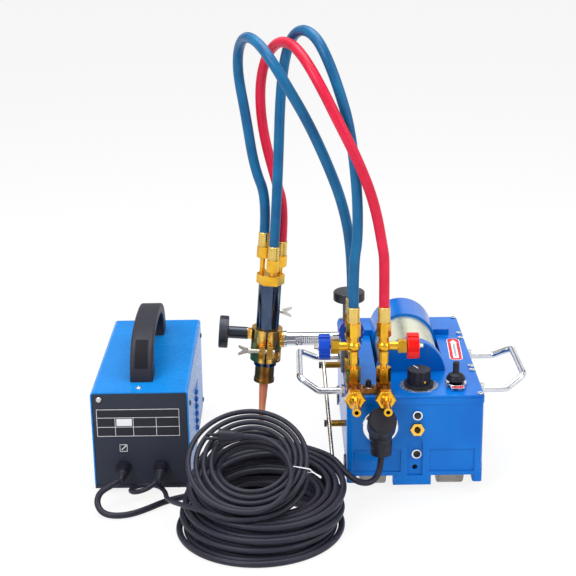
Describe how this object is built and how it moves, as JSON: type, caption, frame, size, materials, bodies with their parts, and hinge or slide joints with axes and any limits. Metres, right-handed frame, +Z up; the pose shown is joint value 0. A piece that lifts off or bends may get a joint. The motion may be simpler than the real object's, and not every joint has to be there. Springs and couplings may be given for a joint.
{
  "type": "pipe cutting machine",
  "caption": "Magnetic crawler that carries a gas cutting torch on a geared arm, fed by three hoses, with a separate power box on a coiled control cable.",
  "frame": {"origin": "on the floor, under the middle of the crawler and the power box together, leaving out the cables", "axes": "+X to the right as seen from the front, from the power box to the crawler; +Y to the rear, along the crawler; +Z up"},
  "size_m": [0.633, 0.556, 0.6644],
  "materials": {
    "blue_paint": "gloss",
    "zinc_plate": "satin",
    "steel": "satin",
    "chrome": "polished",
    "brass": "polished",
    "copper": "polished",
    "blue_hose": "satin",
    "red_hose": "satin",
    "black_rubber": "satin",
    "black_plastic": "satin",
    "blue_plastic": "gloss",
    "red_plastic": "gloss",
    "black_paint": "satin",
    "cast_steel": "machined",
    "black_steel": "knurled",
    "copper_wire": "wound"
  },
  "bodies": {
    "crawler": {"crawler_housing": "blue_paint", "front_cover": "blue_paint", "rear_cover": "blue_paint", "cover_screws": "zinc_plate", "motor_bracket": "blue_paint", "motor_sleeve": "zinc_plate", "motor_bell": "blue_paint", "motor_stator": "copper_wire", "shaft_hangers": "cast_steel", "axle_bushes": "black_steel", "dial_plate": "zinc_plate", "speed_control": "black_plastic", "toggle_switch": "chrome", "front_fittings": "chrome", "left_handle": "chrome", "right_handle": "chrome", "guide_studs": "brass", "guide_rod": "steel", "gas_manifold": "brass", "hose_inlets": "brass", "valve_bodies": "brass", "arm_post": "steel", "left_hose": "blue_hose", "front_hose": "blue_hose", "red_hose": "red_hose", "box_cover": "blue_paint", "box_chassis": "black_paint", "box_feet": "black_rubber", "box_handle": "black_plastic", "box_glands": "black_plastic", "power_supply": "cast_steel", "control_plug": "black_plastic", "control_lead": "black_rubber", "control_coil": "black_rubber", "control_tail": "black_rubber", "mains_lead": "black_rubber", "mains_coil": "black_rubber", "mains_plug": "black_plastic"},
    "motor": {"motor_rotor": "steel"},
    "idler": {"idler_gear": "steel"},
    "drive": {"drive_shaft": "steel"},
    "front_wheelset": {"front_axle": "steel", "front_wheels": "cast_steel"},
    "rear_wheelset": {"rear_axle": "steel", "rear_wheels": "cast_steel"},
    "speed_dial": {"speed_knob": "black_plastic"},
    "toggle": {"toggle_lever": "black_rubber"},
    "arm": {"arm_bar": "chrome"},
    "arm_wheel": {"arm_knob": "black_steel"},
    "holder": {"torch_holder": "brass"},
    "torch": {"torch_barrel": "chrome", "torch_head": "brass", "cutting_nozzle": "copper", "torch_inlets": "brass"},
    "torch_wheel": {"torch_knob": "black_steel"},
    "clamp_screw": {"clamp_wing_screw": "zinc_plate"},
    "guide_screw": {"guide_wing_screw": "zinc_plate"},
    "oxygen_valve": {"oxygen_knob": "blue_plastic"},
    "fuel_valve": {"fuel_knob": "red_plastic"},
    "cutting_valve": {"cutting_knob": "blue_plastic"}
  },
  "joints": [
    {"name": "motor_spin", "type": "hinge", "parent": "crawler", "child": "motor", "pos_m": [0.1495, 0.0695, 0.147], "axis": [0, 1, 0], "continuous": true},
    {"name": "idler_spin", "type": "hinge", "parent": "crawler", "child": "idler", "pos_m": [0.1495, -0.0255, 0.102], "axis": [0, 1, 0], "continuous": true},
    {"name": "drive_spin", "type": "hinge", "parent": "crawler", "child": "drive", "pos_m": [0.1495, 0.0195, 0.0585], "axis": [0, 1, 0], "continuous": true},
    {"name": "front_axle_spin", "type": "hinge", "parent": "crawler", "child": "front_wheelset", "pos_m": [0.1495, -0.0945, 0.027], "axis": [1, 0, 0], "continuous": true},
    {"name": "rear_axle_spin", "type": "hinge", "parent": "crawler", "child": "rear_wheelset", "pos_m": [0.1495, 0.1715, 0.027], "axis": [1, 0, 0], "continuous": true},
    {"name": "speed_turn", "type": "hinge", "parent": "crawler", "child": "speed_dial", "pos_m": [0.1555, -0.0905, 0.16], "axis": [0, 0, 1], "range_deg": [-150, 150]},
    {"name": "toggle_flip", "type": "hinge", "parent": "crawler", "child": "toggle", "pos_m": [0.2085, -0.0945, 0.144], "axis": [1, 0, 0], "range_deg": [-12, 12]},
    {"name": "arm_slide", "type": "slide", "parent": "crawler", "child": "arm", "axis": [-1, 0, 0], "range_m": [-0.025, 0.004], "deforming": ["left_hose", "front_hose", "red_hose"]},
    {"name": "arm_wheel_turn", "type": "hinge", "parent": "crawler", "child": "arm_wheel", "pos_m": [0.0575, -0.0236, 0.266], "axis": [0, 0, 1], "range_deg": [-250, 50]},
    {"name": "torch_swivel", "type": "hinge", "parent": "arm", "child": "holder", "pos_m": [-0.065, -0.0085, 0.194], "axis": [1, 0, 0], "range_deg": [-20, 30], "deforming": ["left_hose", "front_hose", "red_hose"]},
    {"name": "torch_lift", "type": "slide", "parent": "holder", "child": "torch", "axis": [0.0785, 0, 0.9969], "range_m": [-0.025, 0.025], "deforming": ["left_hose", "front_hose", "red_hose"]},
    {"name": "torch_wheel_turn", "type": "hinge", "parent": "holder", "child": "torch_wheel", "pos_m": [-0.065, 0.0136, 0.194], "axis": [0.9969, 0, -0.0785], "range_deg": [-250, 250]},
    {"name": "clamp_screw_turn", "type": "hinge", "parent": "holder", "child": "clamp_screw", "pos_m": [-0.06578, -0.03458, 0.18403], "axis": [0.9969, 0, -0.0785], "range_deg": [-180, 180]},
    {"name": "guide_screw_turn", "type": "hinge", "parent": "holder", "child": "guide_screw", "pos_m": [-0.06202, 0.0135, 0.23188], "axis": [0.9969, 0, -0.0785], "range_deg": [-180, 180]},
    {"name": "oxygen_turn", "type": "hinge", "parent": "crawler", "child": "oxygen_valve", "pos_m": [0.0195, -0.1155, 0.221], "axis": [-1, 0, 0], "range_deg": [0, 540]},
    {"name": "fuel_turn", "type": "hinge", "parent": "crawler", "child": "fuel_valve", "pos_m": [0.1395, -0.1155, 0.221], "axis": [1, 0, 0], "range_deg": [0, 540]},
    {"name": "cutting_turn", "type": "hinge", "parent": "crawler", "child": "cutting_valve", "pos_m": [0.0595, -0.0505, 0.221], "axis": [0, 1, 0], "range_deg": [0, 540]}
  ],
  "couplings": [
    {"joint": "idler_spin", "follows": "motor_spin", "ratio": -0.875},
    {"joint": "drive_spin", "follows": "motor_spin", "ratio": 1.0769},
    {"joint": "front_axle_spin", "follows": "motor_spin", "ratio": 0.035897},
    {"joint": "rear_axle_spin", "follows": "motor_spin", "ratio": 0.035897},
    {"joint": "arm_wheel_turn", "follows": "arm_slide", "rad_per_m": 166.67},
    {"joint": "torch_wheel_turn", "follows": "torch_lift", "rad_per_m": -166.67}
  ]
}
